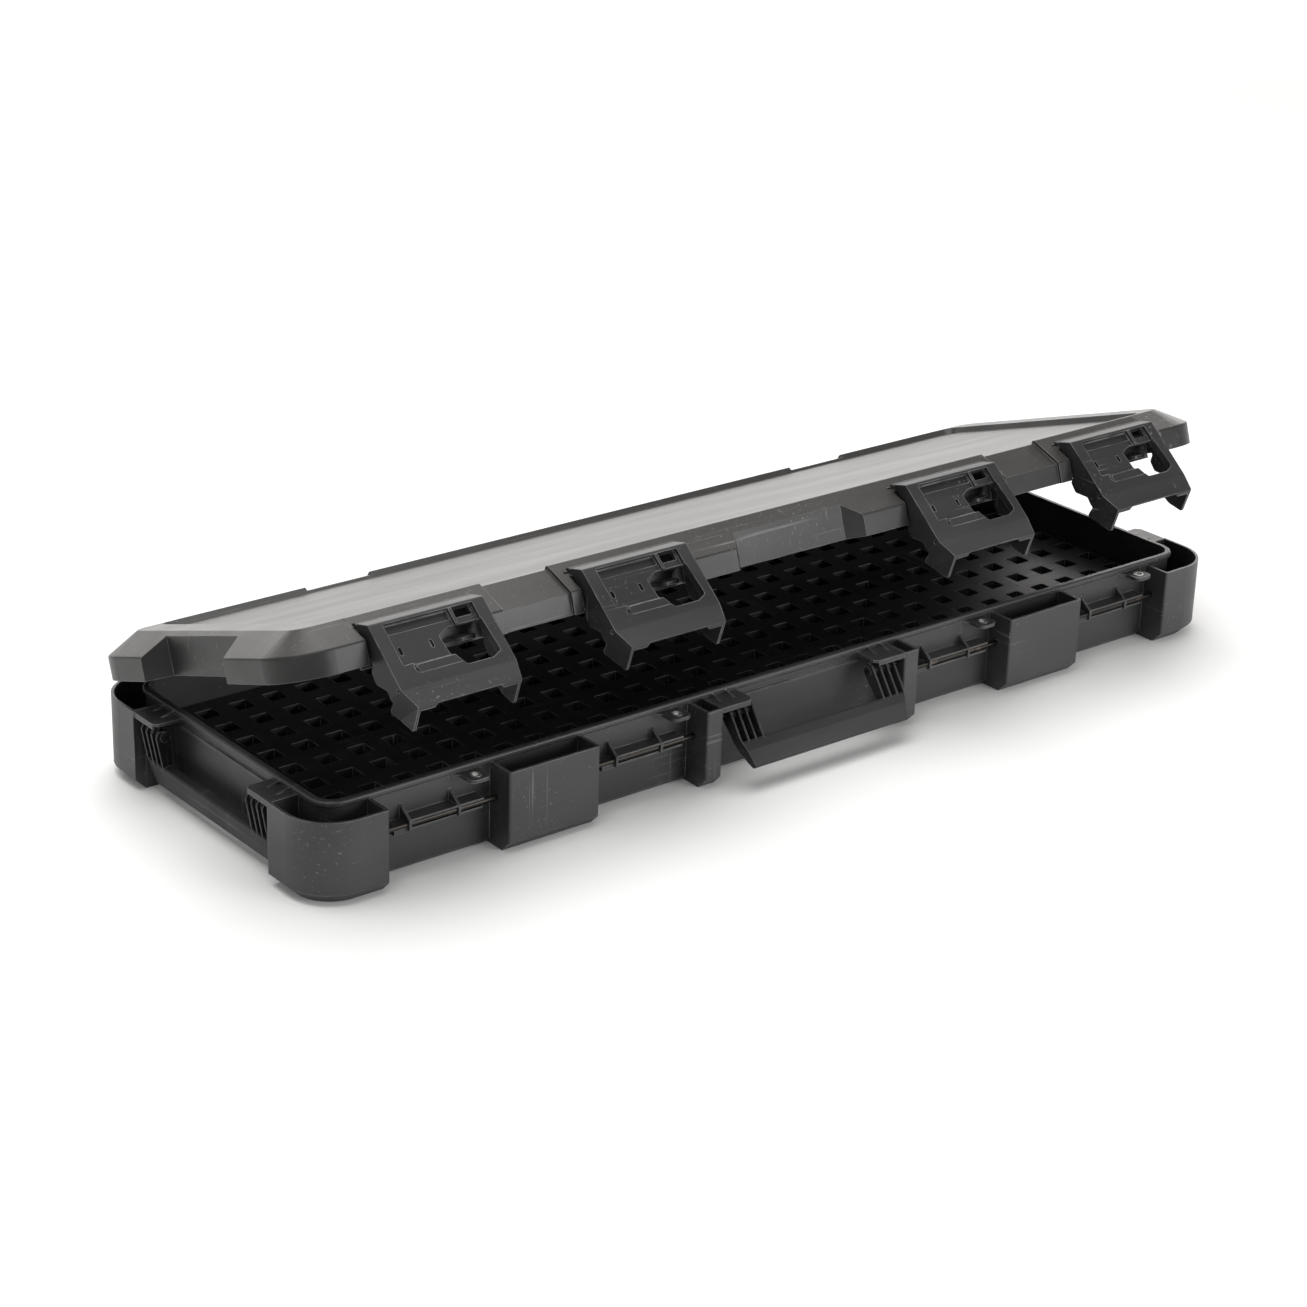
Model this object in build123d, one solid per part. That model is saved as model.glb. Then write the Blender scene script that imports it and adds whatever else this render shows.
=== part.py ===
from build123d import *
import os
from math import atan2, cos, degrees, tan

# Long hard transport case with a hinged lid, shown with the lid ajar.
# Millimetres. X runs along the case, the front faces -Y, +Z is up and the
# origin is the middle of the base's underside. "Inset" is a distance measured
# inwards from the base's overall rectangle.

# ---- driving dimensions -------------------------------------------------
LENGTH = 1229.0
WIDTH = 412.0
BASE_HEIGHT = 87.3
CORNER_RADIUS = 50.0
WALL = 3.0
FOOT_CHAMFER = 12.0
EDGE_ROUND = 2.5
FRONT = -WIDTH / 2

TUB_INSET = 33.0
TUB_RADIUS = 22.0
TUB_WALL = 3.5
TUB_CHAMFER = 5.0
BEAD_OUTER = 30.0
BEAD_INNER = 37.0
BEAD_BOTTOM = 86.0
BEAD_TOP = 93.5

# half-lengths, from the middle of the case, of the stations along the front
BUMPER_X = 530.7
POCKET_OUTER_X = 392.3
POCKET_INNER_X = 282.6
PILLAR_X = 145.7
HOUSING_HALF = 125.0
SHELF_HALF = 84.0
RECESS_WIDTH = BUMPER_X - POCKET_OUTER_X

# grid tray in the bottom of the case
TRAY_TOP = 55.0
TRAY_PLATE = 3.0
TRAY_INSET = 37.5
TRAY_PITCH = 40.0
TRAY_COLUMNS = 29
TRAY_ROWS = 8
TRAY_HOLE = 20.0
TRAY_TUBE_WALL = 1.6
TRAY_TUBE_DEPTH = 14.0

# lid, in its closed place
LID_WIDTH = WIDTH - 16.0
LID_TOP = 138.2
LID_BOTTOM = 89.0
LID_KNEE = 112.0
SLOPE_RUN = 32.5
END_BOTTOM = 94.0
END_KNEE = 118.0
END_SLOPE_RUN = 34.0
KNEE_ROUND = 3.0
LID_WALL = 3.0
PANEL_LENGTH = 1105.0
PANEL_WIDTH = 326.0
PANEL_DEPTH = 6.5
CHANNEL_DEPTH = 3.5
CHANNEL_INNER_X = 294.5
CHANNEL_OUTER_X = 375.5
LATCH_WALL_INSET = 24.5
FLANGE_BOTTOM = 97.0
FLANGE_TOP = 100.0

# hinge between base and lid
HINGE_Y = WIDTH / 2 - 6.0
HINGE_Z = 90.0
HINGE_BARREL = 6.0
HINGE_PIN = 3.0
LID_OPEN = 19.0
RUNNING = 0.08

# latches, in their closed place
LATCH_WIDTH = 130.0
LATCH_MARGIN = (RECESS_WIDTH - LATCH_WIDTH) / 2
LATCH_AXIS_Y = FRONT + 29.5
LATCH_AXIS_Z = 128.0
KNUCKLE = 4.5
GROOVE = 5.3
LATCH_PIN = 2.0
LATCH_OPEN = 20.0
LATCH_WALL = 3.0
ROD_Y = FRONT + 21.0
ROD_Z = 54.5
ROD_RADIUS = 3.0

# padlock tabs beside the latches
TAB_CENTRE = 111.0
TAB_HALF = 12.0
TAB_TOP = 86.5
TAB_THICK = 3.5
TAB_HOLE_Y = FRONT + 18.5
LID_TAB_BOTTOM = 93.0
LID_TAB_TOP = 97.0
EYELET_OUTER = 6.0
EYELET_BORE = 4.2

# swing handles
HANDLE_INSET = 12.0
HANDLE_Z = 72.3
HANDLE_HALF = 113.5
HANDLE_PIN = 2.5
HANDLE_OUT = 46.0
FIN_HALF = 1.0

LATCH_LEFT_EDGES = [-BUMPER_X, -POCKET_INNER_X, PILLAR_X, POCKET_OUTER_X]


# ---- helpers -------------------------------------------------------------
def block(x0, x1, y0, y1, z0, z1):
    """Box between two corners."""
    centre = ((x0 + x1) / 2, (y0 + y1) / 2, (z0 + z1) / 2)
    return Pos(*centre) * Box(abs(x1 - x0), abs(y1 - y0), abs(z1 - z0))


def prism(inset, radius, bottom, top):
    """Upright rounded block, inset from the base's overall rectangle."""
    outline = RectangleRounded(LENGTH - 2 * inset, WIDTH - 2 * inset, radius)
    return Pos(0, 0, bottom) * extrude(outline, top - bottom)


def side_plate(points, x0, x1, radii=None):
    """Plate cut to an outline in Y and Z, reaching from x0 to x1."""
    if radii is None:
        wire = Polyline(*points, close=True)
    else:
        wire = FilletPolyline(*points, radius=radii, close=True)
    outline = make_face(wire)
    plane = Plane(origin=(x0, 0, 0), x_dir=(0, 1, 0), z_dir=(1, 0, 0))
    return extrude(plane * outline, x1 - x0)


def plan_plate(points, z0, z1, radii=None):
    """Plate cut to an outline in X and Y, reaching from z0 to z1."""
    if radii is None:
        wire = Polyline(*points, close=True)
    else:
        wire = FilletPolyline(*points, radius=radii, close=True)
    return Pos(0, 0, z0) * extrude(make_face(wire), z1 - z0)


def rod_x(x0, x1, y, z, radius):
    """Round bar along X."""
    return Pos((x0 + x1) / 2, y, z) * Rot(0, 90, 0) * Cylinder(radius, x1 - x0)


def cut_all(body, tools):
    """Body with every tool cut away."""
    for tool in tools:
        body = body - tool
    return body


def join_all(body, pieces):
    """Body with every piece joined on."""
    for piece in pieces:
        body = body + piece
    return body


def tilt_lid(shape):
    """Carry a shape from the closed lid to the lid's open place."""
    return Pos(0, HINGE_Y, HINGE_Z) * Rot(-LID_OPEN, 0, 0) * Pos(0, -HINGE_Y, -HINGE_Z) * shape


def tilt_latch(shape):
    """Carry a shape from the closed latch to the latch's open place on the closed lid."""
    turn = Rot(-LATCH_OPEN, 0, 0)
    return Pos(0, LATCH_AXIS_Y, LATCH_AXIS_Z) * turn * Pos(0, -LATCH_AXIS_Y, -LATCH_AXIS_Z) * shape


# ---- base shell ----------------------------------------------------------
def base_form(inset):
    """Overall form of the base with its chamfered foot, thinned by an inset."""
    form = prism(inset, CORNER_RADIUS - inset, inset, BASE_HEIGHT + inset)
    return chamfer(form.edges().group_by(Axis.Z)[0], FOOT_CHAMFER)


def outer_zones(shrink):
    """Plan zones that stand out from the tub: corners, pockets and pillars."""
    far_x = LENGTH / 2 + 10
    far_y = WIDTH / 2 + 10
    near_y = WIDTH / 2 - TUB_INSET - 20
    zones = []
    for front in (-1, 1):
        for side in (-1, 1):
            zones.append((side * (BUMPER_X + shrink), side * far_x,
                          front * (HOUSING_HALF + shrink), front * far_y))
            zones.append((side * (POCKET_INNER_X + shrink), side * (POCKET_OUTER_X - shrink),
                          front * near_y, front * far_y))
    for side in (-1, 1):
        zones.append((side * (HOUSING_HALF + shrink), side * (PILLAR_X - shrink), -near_y, -far_y))
    zones.append((-PILLAR_X + shrink, PILLAR_X - shrink, near_y, far_y))
    return [block(*zone, -10, BASE_HEIGHT + 20) for zone in zones]


def tub_outer():
    """Outside of the tub, with its bottom edge chamfered."""
    tub = prism(TUB_INSET, TUB_RADIUS, 0, BEAD_TOP - 1)
    return chamfer(tub.edges().group_by(Axis.Z)[0], TUB_CHAMFER)


def rim_bead():
    """Rounded bead round the top of the tub, which the lid's seal meets."""
    ring = prism(BEAD_OUTER, TUB_RADIUS + 3, BEAD_BOTTOM, BEAD_TOP)
    ring = fillet(ring.edges().group_by(Axis.Z)[-1], 2.5)
    return chamfer(ring.edges().group_by(Axis.Z)[0], 2.5)


def handle_shelf():
    """Shelves and rear ledge of a handle housing that faces -Y at the front wall.

    The wall is at y = TUB_INSET and the outer plane at y = 0.
    """
    pieces = []
    for side in (-1, 1):
        inner = side * SHELF_HALF
        outer = side * (HOUSING_HALF + 1)
        points = [(outer, TUB_INSET + 1), (outer, 1), (inner + side * 5, 1), (inner, 6), (inner, TUB_INSET + 1)]
        pieces.append(plan_plate(points, BASE_HEIGHT - 3.3, BASE_HEIGHT - 0.3))
        lip = block(outer, inner + side * 5, 1, 3, BASE_HEIGHT - 6, BASE_HEIGHT - 2)
        pieces.append(lip)
        for rib in (14.0, 32.0):
            x = inner + side * rib
            outline = [(12, BASE_HEIGHT - 1), (TUB_INSET, BASE_HEIGHT - 1), (TUB_INSET, BEAD_TOP - 2.5)]
            pieces.append(side_plate(outline, x - 1.2, x + 1.2))
    pieces.append(block(-SHELF_HALF, SHELF_HALF, TUB_INSET - 2.5, TUB_INSET + 1, 76.5, 79))
    return pieces


def housing_places():
    """Moves from a housing's own frame to the front wall and both end walls."""
    front = Pos(0, FRONT, 0)
    left = Pos(-LENGTH / 2, 0, 0) * Rot(0, 0, -90)
    right = Pos(LENGTH / 2, 0, 0) * Rot(0, 0, 90)
    return [front, left, right]


def strike_housing(left_edge):
    """Ribbed channel in a latch recess that carries the strike rod."""
    wall = FRONT + TUB_INSET + 1
    start = left_edge + 33
    end = left_edge + 120
    pieces = [block(start, end, FRONT + 17, wall, ROD_Z + 3.6, ROD_Z + 5.6),
              block(start, end, FRONT + 19, wall, ROD_Z - 6, ROD_Z - 4),
              block(left_edge + 18, start, FRONT + 20, wall, ROD_Z - 8, ROD_Z + 2)]
    rib = [(wall, ROD_Z + 18), (FRONT + 16, ROD_Z + 5), (FRONT + 16, ROD_Z - 5), (wall, ROD_Z - 12)]
    for x in (start, left_edge + 90):
        pieces.append(side_plate(rib, x, x + 2.5))
    return pieces


def padlock_tab(left_edge, tip_inset, z0, z1, wall_y):
    """Rounded tongue for a padlock, standing forward from a wall."""
    centre = left_edge + TAB_CENTRE
    left = centre - TAB_HALF
    right = centre + TAB_HALF
    tip = FRONT + tip_inset
    points = [(left - 10, wall_y), (left, wall_y - 8), (left, tip), (right, tip), (right, wall_y)]
    return plan_plate(points, z0, z1, [0.5, 6, 7, 7, 0.5])


def hinge_lug_base(x):
    """Base half of a hinge: two cheeks with a round barrel."""
    wall = WIDTH / 2 - TUB_INSET - 1
    arm = [(wall, 58), (wall, 82), (HINGE_Y - 8, 86.5), (HINGE_Y, HINGE_Z - 5), (HINGE_Y, HINGE_Z - 6)]
    pieces = []
    for x0 in (x - 22, x + 15.5):
        pieces.append(side_plate(arm, x0, x0 + 6.5))
        pieces.append(rod_x(x0, x0 + 6.5, HINGE_Y, HINGE_Z, HINGE_BARREL))
    return pieces


def hinge_centres():
    """Middle of each rear recess."""
    outer = (BUMPER_X + POCKET_OUTER_X) / 2
    inner = (POCKET_INNER_X + PILLAR_X) / 2
    return [-outer, -inner, inner, outer]


def make_base():
    """One moulding: tub, rim bead, corner bumpers, pockets, pillars and shelves."""
    tub = tub_outer() + rim_bead()
    stand_outs = base_form(0)
    hollows = base_form(WALL)
    cavities = [hollows & zone for zone in outer_zones(WALL)]
    zones = outer_zones(0)
    zone_union = zones[0]
    for zone in zones[1:]:
        zone_union = zone_union + zone
    outside = stand_outs & zone_union
    upright = outside.edges().filter_by(Axis.Z)
    proud = [edge for edge in upright if abs(edge.center().Y) > WIDTH / 2 - 1]
    outside = fillet(proud, EDGE_ROUND)
    outside = cut_all(outside, cavities)
    shell = outside + tub
    for place in housing_places():
        shell = join_all(shell, [place * piece for piece in handle_shelf()])
    for left_edge in LATCH_LEFT_EDGES:
        shell = join_all(shell, strike_housing(left_edge))
        tab = padlock_tab(left_edge, 7, TAB_TOP - TAB_THICK, TAB_TOP, FRONT + TUB_INSET + 1)
        shell = shell + tab
        shell = shell - Pos(left_edge + TAB_CENTRE, TAB_HOLE_Y, TAB_TOP) * Cylinder(EYELET_OUTER, 20)
    for x in hinge_centres():
        shell = join_all(shell, hinge_lug_base(x))
    inside = prism(TUB_INSET + TUB_WALL, TUB_RADIUS - TUB_WALL, WALL, BEAD_TOP + 5)
    shell = shell - inside
    return cut_all(shell, base_bores())


def base_bores():
    """Holes for strike rods, hinge pins and handle pins."""
    bores = [rod.solid() for rod in make_rods()]
    bores += [pin for pin in hinge_pin_set()]
    for place in handle_places():
        bores += [place * pin for pin in handle_pin_pair()]
    return bores


def make_rods():
    """Steel strike rods, held in the side walls of each latch recess."""
    return [rod_x(edge - 2, edge + RECESS_WIDTH + 2, ROD_Y, ROD_Z, ROD_RADIUS) for edge in LATCH_LEFT_EDGES]


def make_eyelets():
    """Metal eyelets lining the padlock holes of the base."""
    eyelets = []
    for edge in LATCH_LEFT_EDGES:
        z = TAB_TOP - TAB_THICK / 2 + 0.2
        ring = Cylinder(EYELET_OUTER, TAB_THICK + 1) - Cylinder(EYELET_BORE, TAB_THICK + 4)
        eyelets.append(Pos(edge + TAB_CENTRE, TAB_HOLE_Y, z) * ring)
    return eyelets


def hinge_pin_set():
    """Steel pins of the four hinges."""
    return [rod_x(x - 23.5, x + 23.5, HINGE_Y, HINGE_Z, HINGE_PIN) for x in hinge_centres()]


# ---- grid tray -----------------------------------------------------------
def make_tray():
    """Pierced tray on a deep edge, with a short square tube under each hole."""
    places = GridLocations(TRAY_PITCH, TRAY_PITCH, TRAY_COLUMNS, TRAY_ROWS)
    tube = TRAY_HOLE + 2 * TRAY_TUBE_WALL
    with BuildSketch() as plate:
        RectangleRounded(LENGTH - 2 * TRAY_INSET, WIDTH - 2 * TRAY_INSET, 17)
        with places:
            Rectangle(TRAY_HOLE, TRAY_HOLE, mode=Mode.SUBTRACT)
    with BuildSketch() as tubes:
        with places:
            Rectangle(tube, tube)
        with places:
            Rectangle(TRAY_HOLE, TRAY_HOLE, mode=Mode.SUBTRACT)
    top = Pos(0, 0, TRAY_TOP - TRAY_PLATE) * extrude(plate.sketch, TRAY_PLATE)
    sleeves = Pos(0, 0, TRAY_TOP - TRAY_TUBE_DEPTH) * extrude(tubes.sketch, TRAY_TUBE_DEPTH - TRAY_PLATE)
    edge = prism(TRAY_INSET, 17, WALL, TRAY_TOP - TRAY_PLATE)
    edge = edge - prism(TRAY_INSET + 2.5, 14.5, 0, TRAY_TOP)
    return top + sleeves + edge


# ---- lid -----------------------------------------------------------------
def lid_form(knee, run, offset, bottom):
    """Skirt and slopes of a lid with its knee at a height, thinned everywhere by an offset."""
    angle = atan2(LID_TOP - knee, run)
    shoulder = knee - offset * (1 / cos(angle) - tan(angle))
    top = LID_TOP - offset
    outline = RectangleRounded(LENGTH - 2 * offset, LID_WIDTH - 2 * offset, CORNER_RADIUS - offset)
    skirt = Pos(0, 0, bottom) * extrude(outline, shoulder - bottom)
    crown = Pos(0, 0, shoulder) * extrude(outline, top - shoulder, taper=90 - degrees(angle))
    form = skirt + crown
    if offset > 0:
        return form
    bends = [edge for edge in form.edges() if abs(edge.center().Z - shoulder) < 0.01]
    form = fillet(bends, KNEE_ROUND)
    return fillet(form.edges().group_by(Axis.Z)[-1], KNEE_ROUND)


def lid_body(offset, middle_bottom, end_bottom, border):
    """Overall form of the lid: the middle, and its higher-cut ends beyond a border along X."""
    middle_zone = block(-border, border, -WIDTH, WIDTH, -10, LID_TOP + 10)
    middle = lid_form(LID_KNEE, SLOPE_RUN, offset, middle_bottom) & middle_zone
    ends = lid_form(END_KNEE, END_SLOPE_RUN, offset, end_bottom) - middle_zone
    return join_all(middle, list(ends.solids()))


def latch_recesses(grow):
    """Spaces for the latches at the front and the hinges at the back of the lid."""
    wall = FRONT + LATCH_WALL_INSET + grow
    tools = []
    for edge in LATCH_LEFT_EDGES:
        x0 = edge - grow
        x1 = edge + RECESS_WIDTH + grow
        tools.append(block(x0, x1, FRONT - 20, wall, LID_BOTTOM - 20, LID_TOP + 10))
        tools.append(block(x0, x1, -wall, -FRONT + 20, LID_BOTTOM - 20, LID_TOP + 10))
        tools.append(rod_x(edge + LATCH_MARGIN - 1 - grow, edge + RECESS_WIDTH - LATCH_MARGIN + 1 + grow,
                           LATCH_AXIS_Y, LATCH_AXIS_Z, GROOVE + grow))
    return tools


def grip_recess(half_outer, half_inner, depth, grow):
    """Slant-sided hand recess above a handle, cut into a wall at y = 0 that faces -Y."""
    slant = (half_outer - half_inner) / depth
    points = [(-half_outer - 20 * slant - grow, -20), (half_outer + 20 * slant + grow, -20),
              (half_inner + grow, depth + grow), (-half_inner - grow, depth + grow)]
    return plan_plate(points, LID_BOTTOM - 20, LID_TOP + 10)


def grip_recesses(grow):
    """Hand recesses at the front and at both ends of the lid."""
    front = Pos(0, FRONT + 8, 0) * grip_recess(86.5, 71.5, 17, grow)
    left = Pos(-LENGTH / 2, 7, 0) * Rot(0, 0, -90) * grip_recess(83, 72, 27, grow)
    right = Pos(LENGTH / 2, 7, 0) * Rot(0, 0, 90) * grip_recess(83, 72, 27, grow)
    return [front, left, right]


def channel_zones(grow):
    """Bands across the lid's slopes where the surface is sunk."""
    zones = []
    for side in (-1, 1):
        for face in (-1, 1):
            zones.append(block(side * (CHANNEL_INNER_X - grow), side * (CHANNEL_OUTER_X + grow),
                               face * (PANEL_WIDTH / 2 - 20), face * (WIDTH / 2 + 10),
                               LID_BOTTOM - 20, LID_TOP + 10))
    return zones


def panel_pocket():
    """Sunk panel of the lid's top, with sloped sides."""
    outline = RectangleRounded(PANEL_LENGTH, PANEL_WIDTH, 14)
    return Pos(0, 0, LID_TOP) * extrude(outline, -PANEL_DEPTH, taper=40)


def lid_cavity():
    """Inside of the lid, kept one wall away from every outside surface."""
    roof = LID_TOP - PANEL_DEPTH - LID_WALL
    low = LID_BOTTOM - 10
    core = lid_body(LID_WALL, low, low, BUMPER_X + LID_WALL)
    core = core & block(-LENGTH, LENGTH, -WIDTH, WIDTH, LID_BOTTOM - 20, roof)
    thick = core - lid_form(LID_KNEE, SLOPE_RUN, LID_WALL + CHANNEL_DEPTH, low - 1)
    core = cut_all(core, [thick & zone for zone in channel_zones(LID_WALL)])
    core = cut_all(core, latch_recesses(LID_WALL))
    return cut_all(core, grip_recesses(LID_WALL))


def hinge_lug_lid(x):
    """Lid half of a hinge: one wide knuckle on an arm from the rear wall."""
    wall = WIDTH / 2 - LATCH_WALL_INSET - 1
    arm = [(wall, 92), (wall, 106), (HINGE_Y + 1, HINGE_Z + 5.5), (HINGE_Y, HINGE_Z + 1), (HINGE_Y - 4, HINGE_Z)]
    knuckle = rod_x(x - 12, x + 12, HINGE_Y, HINGE_Z, HINGE_BARREL)
    bore = rod_x(x - 14, x + 14, HINGE_Y, HINGE_Z, HINGE_PIN + RUNNING)
    return side_plate(arm, x - 12, x + 12) + knuckle, bore


def make_lid():
    """One moulding: skirt, slopes, sunk top panel, recesses and seal flange."""
    outside = lid_body(0, LID_BOTTOM, END_BOTTOM, BUMPER_X)
    skin = outside - lid_form(LID_KNEE, SLOPE_RUN, CHANNEL_DEPTH, LID_BOTTOM - 1)
    tools = [skin & zone for zone in channel_zones(0)]
    tools.append(panel_pocket())
    tools += latch_recesses(0)
    tools += grip_recesses(0)
    outside = cut_all(outside, tools)
    cavity = lid_cavity()
    lid = outside - cavity
    flange = prism(9, 45, FLANGE_BOTTOM, FLANGE_TOP) - prism(39, 16, FLANGE_BOTTOM - 5, FLANGE_TOP + 5)
    lid = lid + (flange & cavity)
    for edge in LATCH_LEFT_EDGES:
        tab = padlock_tab(edge, 9.2, LID_TAB_BOTTOM, LID_TAB_TOP, FRONT + LATCH_WALL_INSET + 1)
        lid = lid + tab
        lid = lid - Pos(edge + TAB_CENTRE, TAB_HOLE_Y, LID_TAB_TOP) * Cylinder(EYELET_BORE, 20)
    for x in hinge_centres():
        lug, bore = hinge_lug_lid(x)
        lid = lid + lug
        lid = lid - bore
    lid = cut_all(lid, latch_pin_set())
    return tilt_lid(lid)


def make_seal():
    """Rubber seal under the lid's flange, above the rim bead."""
    ring = prism(30.5, 22, BEAD_TOP + 0.5, FLANGE_BOTTOM) - prism(36.5, 17, BEAD_TOP - 5, FLANGE_TOP)
    return tilt_lid(ring)


# ---- latches -------------------------------------------------------------
def latch_pin_set():
    """Steel pivot pins of the latches, in the closed lid's place."""
    return [rod_x(edge - 2, edge + RECESS_WIDTH + 2, LATCH_AXIS_Y, LATCH_AXIS_Z, LATCH_PIN)
            for edge in LATCH_LEFT_EDGES]


def latch_profile():
    """Side outline of a closed latch: top plate, face, chin, leg, hook and back edge."""
    points = [(24.0, 130.2), (7.5, 122.5), (-6.5, 52.0), (-13.5, 31.5), (11.0, 15.5), (22.0, 28.5),
              (30.0, 41.5), (27.0, 44.0), (16.5, 47.5), (16.5, 60.0), (30.5, 71.5), (30.5, 83.5),
              (23.5, 88.5), (23.3, 125.5), (26.0, 127.5)]
    radii = [0.5, 2.5, 8.0, 1.5, 2.0, 2.0, 1.2, 1.0, 2.5, 4.0, 5.0, 3.0, 2.0, 2.0, 0.5]
    return [(FRONT + y, z) for y, z in points], radii


def latch_hollow():
    """Side outline of the space behind a latch's face."""
    points = [(15.8, 119.6), (23.0, 125.0), (24.7, 123.2), (45.0, 123.2), (45.0, 5.0), (-9.2, 5.0),
              (-9.2, 32.5), (1.5, 52.5)]
    return [(FRONT + y, z) for y, z in points]


def latch_front_outline(inset):
    """Front outline of a latch with its lower corners cut off, thinned by an inset."""
    w = LATCH_WIDTH
    half = [(inset, 145.0), (inset, 52.0 + inset / 2), (6.5 + inset, 31.5 + inset / 4), (7.0 + inset, 0.0)]
    return half + [(w - x, z) for x, z in reversed(half)]


def front_plate(points, y0, y1):
    """Plate cut to an outline in X and Z, reaching from y0 to y1."""
    outline = make_face(Polyline(*points, close=True))
    plane = Plane(origin=(0, y1, 0), x_dir=(1, 0, 0), z_dir=(0, -1, 0))
    return extrude(plane * outline, y1 - y0)


def face_plane():
    """Frame on the latch's face: x across, y up the face, z outwards, from its top left corner."""
    top = Vector(0, FRONT + 7.5, 122.5)
    foot = Vector(0, FRONT - 6.5, 52.0)
    up = (top - foot).normalized()
    return Plane(origin=top, x_dir=(1, 0, 0), z_dir=Vector(1, 0, 0).cross(up))


def on_face(u0, u1, v0, v1, depth, radius=1.0):
    """Cutter sunk into the latch's face by a depth, between u0, u1 across and v0, v1 down."""
    pad = RectangleRounded(u1 - u0, v1 - v0, radius)
    place = face_plane() * Pos((u0 + u1) / 2, -(v0 + v1) / 2, -depth)
    return place * extrude(pad, depth + 5)


def latch_window():
    """Cutter for the window that gives reach to the padlock tabs."""
    points = [(68, -26), (82, -20), (117, -20), (120, -58), (109, -63), (79, -63), (70, -46)]
    wire = FilletPolyline(*points, radius=[3, 3, 3, 4, 4, 4, 4], close=True)
    return face_plane() * Pos(0, 0, -10) * extrude(make_face(wire), 16)


def make_latch():
    """One latch at x = 0, closed: hollow-backed cover with two hooked legs."""
    outline, radii = latch_profile()
    body = side_plate(outline, 0, LATCH_WIDTH, radii)
    body = body & front_plate(latch_front_outline(0), FRONT - 40, FRONT + 60)
    hollow = side_plate(latch_hollow(), LATCH_WALL, LATCH_WIDTH - LATCH_WALL)
    hollow = hollow & front_plate(latch_front_outline(LATCH_WALL), FRONT - 40, FRONT + 60)
    body = body - hollow
    gap = [(29, 31.5), (10, 12), (10, 5), (LATCH_WIDTH - 10, 5), (LATCH_WIDTH - 10, 12), (LATCH_WIDTH - 29, 31.5)]
    body = body - front_plate(gap, FRONT - 40, FRONT + 60)
    body = body - on_face(15, 116, 3, 48, 4.5)
    body = body - on_face(17.5, 88, 3.5, 13, 6.0)
    body = body - on_face(93, 113, 3, 13, 12)
    body = body - on_face(25, 116, 47, 59, 4.0, 5.5)
    bar = on_face(28, 117, 50, 59, 4.5, 4)
    plane = face_plane()
    slab = block(0, LATCH_WIDTH, -80, 0, -5, -0.5)
    body = body + (bar & (plane * slab))
    body = body + plane * block(88.5, 92.0, -20.5, -2.5, -5.5, -0.8)
    for u in (22, 57):
        body = body - on_face(u - 1.7, u + 1.7, 27.5, 36, 12, 1.5)
    body = body - latch_window()
    body = body + rod_x(0, LATCH_WIDTH, LATCH_AXIS_Y, LATCH_AXIS_Z, KNUCKLE)
    body = body - rod_x(-1, LATCH_WIDTH + 1, LATCH_AXIS_Y, LATCH_AXIS_Z, LATCH_PIN + RUNNING)
    body = body - rod_x(-1, LATCH_WIDTH + 1, ROD_Y, ROD_Z, ROD_RADIUS + 0.7)
    return body - rod_x(-1, LATCH_WIDTH + 1, FRONT - 0.6, 53.5, 1.8)


# ---- handles -------------------------------------------------------------
def handle_places():
    """Moves from the handle's own frame to each housing, hanging straight down."""
    front = Pos(0, FRONT + HANDLE_INSET, HANDLE_Z)
    left = Pos(-LENGTH / 2 + HANDLE_INSET, 0, HANDLE_Z) * Rot(0, 0, -90)
    right = Pos(LENGTH / 2 - HANDLE_INSET, 0, HANDLE_Z) * Rot(0, 0, 90)
    return [front, left, right]


def handle_pin_pair():
    """Pins through both arms of a handle, in the handle's own frame."""
    start = HANDLE_HALF - 32
    end = HOUSING_HALF + 2
    return [rod_x(start, end, 0, 0, HANDLE_PIN), rod_x(-end, -start, 0, 0, HANDLE_PIN)]


def make_handle():
    """Swing handle about its pivot line, hanging down and facing -Y."""
    bar = [(-4.0, -33), (-2.2, -44), (2.8, -61.3), (8.0, -61.3), (9.5, -52), (9.5, -35), (6.0, -32)]
    grip = side_plate(bar, -HANDLE_HALF, HANDLE_HALF, [2.5, 4, 2.5, 2.5, 3, 3, 2])
    fin = [(-10.2, 1.0), (-4.0, -33), (-2.2, -44), (3.0, -50), (8.0, -40), (6.0, 0), (0, 6.5), (-7.0, 7.0)]
    pieces = []
    for side in (-1, 1):
        for h in (HANDLE_HALF - 1.0, HANDLE_HALF - 10.8, HANDLE_HALF - 20.3, HANDLE_HALF - 30.0):
            pieces.append(side_plate(fin, side * h - FIN_HALF, side * h + FIN_HALF))
        hub = sorted([side * (HANDLE_HALF - 31.3), side * HANDLE_HALF])
        pieces.append(rod_x(hub[0], hub[1], 0, 0, 5.5))
    handle = join_all(grip, pieces)
    half = [(HANDLE_HALF + 1, 12), (HANDLE_HALF + 1, -26), (HANDLE_HALF - 5, -46), (HANDLE_HALF - 10, -66)]
    outline = half + [(-x, z) for x, z in reversed(half)]
    handle = handle & front_plate(outline, -40, 40)
    return handle - rod_x(-HANDLE_HALF - 1, HANDLE_HALF + 1, 0, 0, HANDLE_PIN + RUNNING)


# ---- output --------------------------------------------------------------
def save(name, shapes):
    """Write one node, from one solid or a list of separate solids."""
    solids = []
    for shape in shapes if isinstance(shapes, list) else [shapes]:
        solids += list(shape.solids())
    node = solids[0] if len(solids) == 1 else Compound(children=solids)
    node.label = name
    export_step(node, f"parts/{name}.step")


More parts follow.
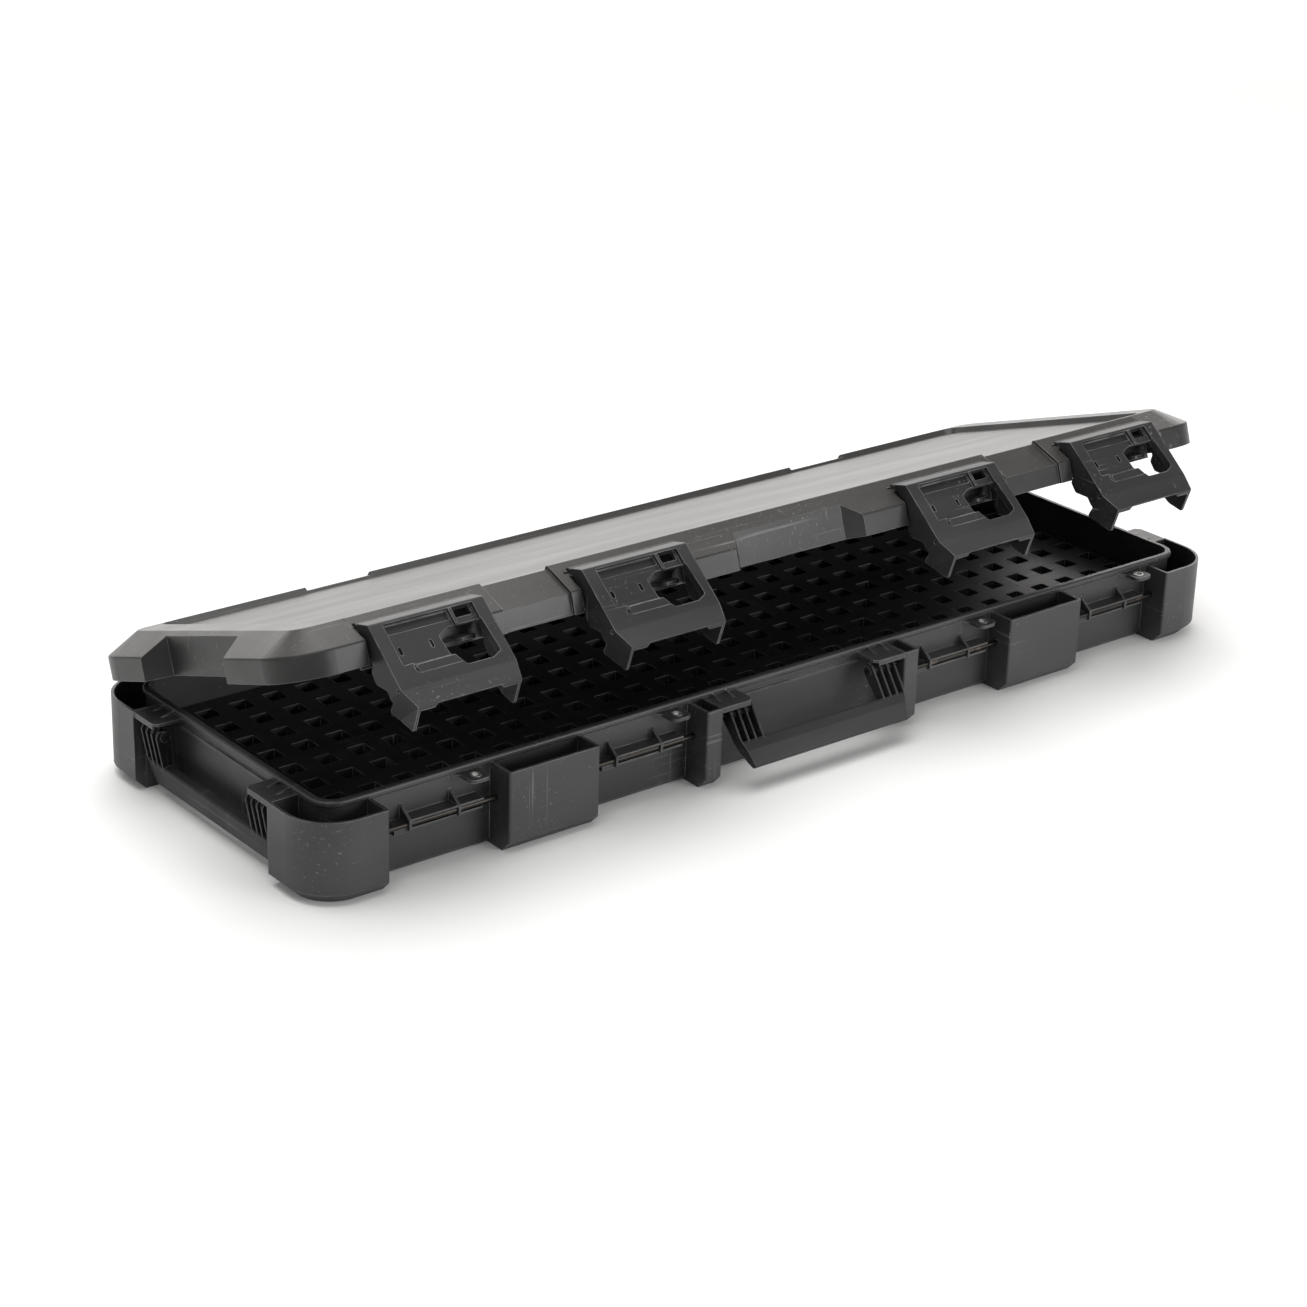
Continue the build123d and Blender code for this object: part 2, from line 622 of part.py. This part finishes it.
def main():
    os.makedirs("parts", exist_ok=True)
    save("base_shell", make_base())
    save("grid_tray", make_tray())
    save("lid_shell", make_lid())
    save("lid_seal", make_seal())
    save("hinge_pins", hinge_pin_set())
    save("padlock_eyelets", make_eyelets())
    latch = make_latch()
    pins = latch_pin_set()
    rods = make_rods()
    for number, edge in enumerate(LATCH_LEFT_EDGES, start=1):
        placed = Pos(edge + LATCH_MARGIN, 0, 0) * latch
        save(f"latch_{number}", tilt_lid(tilt_latch(placed)))
        save(f"latch_pin_{number}", tilt_lid(pins[number - 1]))
        save(f"strike_rod_{number}", rods[number - 1])
    handle = make_handle()
    swings = [HANDLE_OUT, 0, 0]
    for name, place, swing in zip(("front", "left", "right"), handle_places(), swings):
        save(f"handle_{name}", place * Rot(-swing, 0, 0) * handle)
        save(f"handle_{name}_pins", [place * pin for pin in handle_pin_pair()])


main()
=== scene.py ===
import math

import bpy
from mathutils import Matrix, Vector


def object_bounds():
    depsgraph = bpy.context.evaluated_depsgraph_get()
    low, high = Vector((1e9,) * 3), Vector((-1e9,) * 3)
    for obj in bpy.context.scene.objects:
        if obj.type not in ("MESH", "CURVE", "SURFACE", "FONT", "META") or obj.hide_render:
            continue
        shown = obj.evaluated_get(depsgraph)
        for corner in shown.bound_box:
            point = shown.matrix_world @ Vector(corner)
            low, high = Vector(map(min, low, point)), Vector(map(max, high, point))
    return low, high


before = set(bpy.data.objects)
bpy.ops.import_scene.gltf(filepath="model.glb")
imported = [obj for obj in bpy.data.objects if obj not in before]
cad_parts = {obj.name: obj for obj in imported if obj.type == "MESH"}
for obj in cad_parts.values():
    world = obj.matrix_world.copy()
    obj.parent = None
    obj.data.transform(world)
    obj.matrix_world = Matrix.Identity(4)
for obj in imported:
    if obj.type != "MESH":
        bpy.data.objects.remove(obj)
cad_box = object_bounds()

# Looks of the long transport case: materials, floor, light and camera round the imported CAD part.
# Metres, in the CAD frame: +X along the case, the front faces -Y, +Z up.

CAMERA_PLACE = Vector((-1.947, -2.3146, 1.3287))
CAMERA_YAW = 0.68636
CAMERA_PITCH = 0.40182
CAMERA_ROLL = 0.03171
LENS_MM = 83.18
SENSOR_MM = 36.0

SHELL_BLACK = (0.014, 0.014, 0.0155)
LID_BLACK = (0.013, 0.0125, 0.0125)
TRAY_BLACK = (0.008, 0.008, 0.009)
LATCH_BLACK = (0.0065, 0.0065, 0.0075)
HANDLE_BLACK = (0.005, 0.005, 0.006)
SEAL_BLACK = (0.010, 0.010, 0.010)
# Grey of scratches, scuffs and rubber bloom, and also the colour of the painted highlights on hard edges.
SCUFF_AND_HIGHLIGHT_GREY = (0.25, 0.245, 0.236)
DUST_GREY = (0.36, 0.315, 0.27)
DARK_STEEL = (0.040, 0.037, 0.034)
WORN_STEEL = (0.17, 0.135, 0.11)
ZINC = (0.44, 0.44, 0.43)
TARNISH = (0.20, 0.19, 0.18)
FLOOR_WHITE = (0.90, 0.90, 0.89)
WHITE = (1.0, 1.0, 1.0)
WARM_WHITE = (1.0, 0.972, 0.955)
ROOM_BRIGHTNESS = 0.50
FLOOR_HALF = 14.0
BEVEL_SAMPLES = 6


# ---- node helpers --------------------------------------------------------
class Graph:
    """A material's node tree, with short calls for the steps used here."""

    def __init__(self, name):
        self.material = bpy.data.materials.new(name)
        self.material.use_nodes = True
        self.tree = self.material.node_tree
        self.tree.nodes.clear()
        self.shader = self.tree.nodes.new("ShaderNodeBsdfPrincipled")
        output = self.tree.nodes.new("ShaderNodeOutputMaterial")
        self.link(self.shader.outputs["BSDF"], output.inputs["Surface"])
        self.places = self.tree.nodes.new("ShaderNodeTexCoord")

    def link(self, source, target):
        self.tree.links.new(source, target)

    def feed(self, socket, value):
        """Link a socket, or set it to a plain number."""
        if isinstance(value, bpy.types.NodeSocket):
            self.link(value, socket)
        else:
            socket.default_value = value

    def math(self, operation, a, b=0.0, clamp=False):
        node = self.tree.nodes.new("ShaderNodeMath")
        node.operation = operation
        node.use_clamp = clamp
        self.feed(node.inputs[0], a)
        self.feed(node.inputs[1], b)
        return node.outputs[0]

    def noise(self, scale, detail=3.0, stretch=(1, 1, 1), turn=(0, 0, 0), shift=0.0):
        """Noise from 0 to 1 over the surface, with features of about 1 / scale metres."""
        mapping = self.tree.nodes.new("ShaderNodeMapping")
        mapping.inputs["Scale"].default_value = stretch
        mapping.inputs["Rotation"].default_value = turn
        mapping.inputs["Location"].default_value = (shift, shift, shift)
        self.link(self.places.outputs["Object"], mapping.inputs["Vector"])
        node = self.tree.nodes.new("ShaderNodeTexNoise")
        node.inputs["Scale"].default_value = scale
        node.inputs["Detail"].default_value = detail
        self.link(mapping.outputs["Vector"], node.inputs["Vector"])
        return node.outputs["Fac"]

    def window(self, value, low, high, to_low=0.0, to_high=1.0):
        """Value between low and high spread over to_low to to_high, and held outside."""
        node = self.tree.nodes.new("ShaderNodeMapRange")
        node.clamp = True
        self.feed(node.inputs["Value"], value)
        node.inputs["From Min"].default_value = low
        node.inputs["From Max"].default_value = high
        node.inputs["To Min"].default_value = to_low
        node.inputs["To Max"].default_value = to_high
        return node.outputs["Result"]

    def blend(self, factor, first, second):
        """Mix of two colours."""
        node = self.tree.nodes.new("ShaderNodeMix")
        node.data_type = "RGBA"
        self.feed(node.inputs["Factor"], factor)
        for socket, colour in ((node.inputs[6], first), (node.inputs[7], second)):
            if isinstance(colour, bpy.types.NodeSocket):
                self.link(colour, socket)
            else:
                socket.default_value = (*colour, 1.0)
        return node.outputs[2]

    def rounded(self, radius):
        """Surface direction with hard edges rounded off."""
        node = self.tree.nodes.new("ShaderNodeBevel")
        node.samples = BEVEL_SAMPLES
        node.inputs["Radius"].default_value = radius
        return node.outputs["Normal"]

    def edges(self, rounded):
        """1 on hard edges and 0 on flat faces."""
        geometry = self.tree.nodes.new("ShaderNodeNewGeometry")
        node = self.tree.nodes.new("ShaderNodeVectorMath")
        node.operation = "DOT_PRODUCT"
        self.link(rounded, node.inputs[0])
        self.link(geometry.outputs["Normal"], node.inputs[1])
        return self.window(node.outputs["Value"], 0.995, 0.90)

    def upward(self):
        """1 on faces that look up when the case is closed."""
        node = self.tree.nodes.new("ShaderNodeSeparateXYZ")
        self.link(self.places.outputs["Normal"], node.inputs[0])
        return self.window(node.outputs["Z"], 0.6, 0.95)

    def bump(self, height, strength, distance, normal):
        node = self.tree.nodes.new("ShaderNodeBump")
        node.inputs["Strength"].default_value = strength
        node.inputs["Distance"].default_value = distance
        self.link(height, node.inputs["Height"])
        self.link(normal, node.inputs["Normal"])
        return node.outputs["Normal"]


def scratches(graph, amount):
    """Thin scratches in three directions, broken up into patches."""
    along = graph.noise(1.0, 1.0, (4, 300, 300))
    across = graph.noise(1.0, 1.0, (320, 6, 300), (0.3, 0.1, 0.9), 3.0)
    upright = graph.noise(1.0, 1.0, (300, 280, 5), (0.2, 0.5, 0.1), 7.0)
    lines = graph.math("MAXIMUM", graph.window(along, 0.66, 0.76), graph.window(across, 0.67, 0.77))
    lines = graph.math("MAXIMUM", lines, graph.window(upright, 0.67, 0.77))
    patches = graph.window(graph.noise(9.0, 3.0, shift=2.0), 0.48, 0.68)
    return graph.math("MULTIPLY", graph.math("MULTIPLY", lines, patches), amount)


def moulded(name, colour, roughness, wear_and_edge_highlight, dust, grain=0.35, edge_radius=0.0012, shine=0.5):
    """Moulded plastic: fine grain, uneven sheen, scratches, rubbed edges that are partly a painted edge
    highlight, and some dust on top.

    wear_and_edge_highlight and dust run from 0 to 1; the first sets both the scratches and the painted
    highlight on hard edges.
    grain is the strength of the fine relief, edge_radius is how far hard edges are rounded, and shine scales
    the reflection seen square on.
    """
    graph = Graph(name)
    rounded = graph.rounded(edge_radius)
    lines = scratches(graph, wear_and_edge_highlight)
    edge_patches = graph.window(graph.noise(34.0, 4.0, shift=5.0), 0.36, 0.60, 0.25, 1.0)
    # Hard edges are lightened towards the scuff grey. This is partly rubbed wear and partly a painted highlight
    # and glint along the edges.
    edge_wear_and_highlight = graph.math("MULTIPLY", graph.edges(rounded), graph.math("MULTIPLY", edge_patches, wear_and_edge_highlight))
    mottle = graph.window(graph.noise(7.0, 5.0, (0.5, 2.0, 2.0)), 0.35, 0.75, 0.0, 0.08)
    marks_and_edge_highlight = graph.math("MAXIMUM", graph.math("MULTIPLY", lines, 0.6), edge_wear_and_highlight)
    worn_and_highlit_colour = graph.blend(graph.math("MAXIMUM", marks_and_edge_highlight, mottle, True), colour, SCUFF_AND_HIGHLIGHT_GREY)
    film = graph.window(graph.noise(2.4, 4.0, (0.5, 2.5, 2.5), shift=11.0), 0.20, 0.85)
    specks = graph.window(graph.noise(260.0, 2.0, shift=13.0), 0.62, 0.74, 0.25, 1.0)
    settled = graph.math("MULTIPLY", graph.math("MULTIPLY", film, specks), graph.upward())
    graph.link(graph.blend(graph.math("MULTIPLY", settled, dust), worn_and_highlit_colour, DUST_GREY),
               graph.shader.inputs["Base Color"])

    sheen = graph.window(graph.noise(11.0, 4.0, (0.4, 2.0, 2.0), shift=17.0),
                         0.3, 0.7, roughness - 0.04, roughness + 0.04)
    rough = graph.math("ADD", sheen, graph.math("MULTIPLY", graph.math("ADD", lines, settled), 0.07), True)
    graph.link(rough, graph.shader.inputs["Roughness"])
    graph.shader.inputs["Specular IOR Level"].default_value = shine

    pebble = graph.noise(1500.0, 2.0)
    ripple = graph.math("MULTIPLY", graph.noise(28.0, 2.0, shift=19.0), 3.0)
    height = graph.math("ADD", pebble, ripple)
    height = graph.math("SUBTRACT", height, graph.math("MULTIPLY", lines, 0.6))
    graph.link(graph.bump(height, grain, 0.00025, rounded), graph.shader.inputs["Normal"])
    return graph.material


def rubber(name):
    """Matt black sealing rubber with a dusty bloom."""
    graph = Graph(name)
    bloom = graph.window(graph.noise(40.0, 4.0), 0.4, 0.7, 0.0, 0.2)
    graph.link(graph.blend(bloom, SEAL_BLACK, SCUFF_AND_HIGHLIGHT_GREY), graph.shader.inputs["Base Color"])
    graph.link(graph.window(graph.noise(60.0), 0.3, 0.7, 0.72, 0.9), graph.shader.inputs["Roughness"])
    graph.link(graph.bump(graph.noise(900.0), 0.4, 0.0003, graph.rounded(0.0008)),
               graph.shader.inputs["Normal"])
    return graph.material


def metal(name, clean, stained, roughness, stain_low, stain_high):
    """Drawn or plated metal with fine lines along X and uneven staining."""
    graph = Graph(name)
    stain = graph.window(graph.noise(45.0, 5.0, shift=4.0), stain_low, stain_high)
    drawn = graph.noise(1.0, 3.0, (30, 2600, 2600))
    graph.link(graph.blend(stain, clean, stained), graph.shader.inputs["Base Color"])
    graph.shader.inputs["Metallic"].default_value = 1.0
    uneven = graph.window(drawn, 0.3, 0.7, roughness - 0.06, roughness + 0.08)
    graph.link(graph.math("ADD", uneven, graph.math("MULTIPLY", stain, 0.15), True),
               graph.shader.inputs["Roughness"])
    graph.link(graph.bump(drawn, 0.25, 0.0001, graph.rounded(0.0004)), graph.shader.inputs["Normal"])
    return graph.material


def painted_floor(name):
    """Plain pale studio floor, very slightly uneven."""
    graph = Graph(name)
    shade = graph.window(graph.noise(0.8, 4.0), 0.3, 0.7, 0.0, 0.05)
    graph.link(graph.blend(shade, FLOOR_WHITE, DUST_GREY), graph.shader.inputs["Base Color"])
    graph.shader.inputs["Roughness"].default_value = 0.75
    return graph.material


# ---- scene ---------------------------------------------------------------
def paint(nodes):
    """Give every CAD node its material."""
    steel = metal("blackened_steel", DARK_STEEL, WORN_STEEL, roughness=0.40, stain_low=0.62, stain_high=0.80)
    # The edge lightening set here is partly a painted highlight on the edges of the latches, handles, shell,
    # lid and tray. On the tray it paints the glints at the hole edges.
    latch = moulded("latch_nylon", LATCH_BLACK, roughness=0.52, wear_and_edge_highlight=0.95, dust=0.06,
                    grain=0.22, edge_radius=0.0014, shine=0.42)
    handle = moulded("handle_nylon", HANDLE_BLACK, roughness=0.46, wear_and_edge_highlight=0.60, dust=0.04,
                     grain=0.25, edge_radius=0.0010, shine=0.24)
    finishes = {
        "base_shell": moulded("shell_plastic", SHELL_BLACK, roughness=0.46, wear_and_edge_highlight=0.80, dust=0.12, shine=0.62),
        "lid_shell": moulded("lid_plastic", LID_BLACK, roughness=0.36, wear_and_edge_highlight=0.80, dust=0.24, shine=0.32),
        "grid_tray": moulded("tray_plastic", TRAY_BLACK, roughness=0.48, wear_and_edge_highlight=0.95, dust=0.02,
                             grain=0.25, edge_radius=0.0013, shine=0.38),
        "lid_seal": rubber("seal_rubber"),
        "padlock_eyelets": metal("plated_zinc", ZINC, TARNISH, roughness=0.38, stain_low=0.48, stain_high=0.70),
    }
    for name, node in nodes.items():
        finish = finishes.get(name)
        if finish is None:
            moving = name in ("handle_front", "handle_left", "handle_right")
            cover = name.startswith("latch_") and not name.startswith("latch_pin")
            finish = handle if moving else latch if cover else steel
        if not node.material_slots:
            node.data.materials.append(finish)
        for slot in node.material_slots:
            slot.material = finish


def make_floor():
    """Wide plane under the case."""
    half = FLOOR_HALF
    corner_points = [(-half, -half, 0), (half, -half, 0), (half, half, 0), (-half, half, 0)]
    mesh = bpy.data.meshes.new("floor")
    mesh.from_pydata(corner_points, [], [(0, 1, 2, 3)])
    floor = bpy.data.objects.new("floor", mesh)
    bpy.context.scene.collection.objects.link(floor)
    mesh.materials.append(painted_floor("floor_white"))


def add_softbox(name, place, aim, width, height, power, colour=WHITE):
    """Rectangular studio light that faces a point."""
    light = bpy.data.lights.new(name, "AREA")
    light.shape = "RECTANGLE"
    light.size = width
    light.size_y = height
    light.energy = power
    light.color = colour
    lamp = bpy.data.objects.new(name, light)
    lamp.visible_camera = False
    lamp.location = place
    lamp.rotation_euler = (Vector(aim) - Vector(place)).to_track_quat("-Z", "Y").to_euler()
    bpy.context.scene.collection.objects.link(lamp)


def light_studio(middle):
    """Soft light from above, a wide warm light behind, two gentle fill lights and a pale room."""
    over = (middle.x - 0.2, middle.y + 0.5, 2.6)
    behind = (middle.x + 4.4, middle.y + 5.8, 1.9)
    add_softbox("overhead", over, middle, width=3.0, height=2.2, power=74)
    add_softbox("behind", behind, middle, width=10.0, height=3.0, power=335, colour=WARM_WHITE)
    add_softbox("left_side", (-2.9, -1.3, 1.5), middle, width=1.6, height=1.4, power=6)
    add_softbox("front_right", (1.3, -3.1, 0.75), middle, width=1.8, height=1.0, power=50)
    world = bpy.data.worlds.new("pale_room")
    world.use_nodes = True
    background = world.node_tree.nodes["Background"]
    background.inputs["Color"].default_value = (*WHITE, 1.0)
    background.inputs["Strength"].default_value = ROOM_BRIGHTNESS
    bpy.context.scene.world = world
    bpy.context.scene.view_settings.view_transform = "Standard"


def add_camera():
    """Camera at the viewing angle of the reference view."""
    data = bpy.data.cameras.new("camera")
    data.lens = LENS_MM
    data.sensor_width = SENSOR_MM
    data.clip_end = 60.0
    camera = bpy.data.objects.new("camera", data)
    bpy.context.scene.collection.objects.link(camera)
    ahead = Vector((math.sin(CAMERA_YAW) * math.cos(CAMERA_PITCH),
                    math.cos(CAMERA_YAW) * math.cos(CAMERA_PITCH), -math.sin(CAMERA_PITCH)))
    level = Vector((math.cos(CAMERA_YAW), -math.sin(CAMERA_YAW), 0.0))
    upright = level.cross(ahead)
    right = math.cos(CAMERA_ROLL) * level + math.sin(CAMERA_ROLL) * upright
    up = math.cos(CAMERA_ROLL) * upright - math.sin(CAMERA_ROLL) * level
    camera.matrix_world = Matrix.Translation(CAMERA_PLACE) @ Matrix((right, up, -ahead)).transposed().to_4x4()
    bpy.context.scene.camera = camera


paint(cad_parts)
make_floor()
light_studio((cad_box[0] + cad_box[1]) / 2)
add_camera()
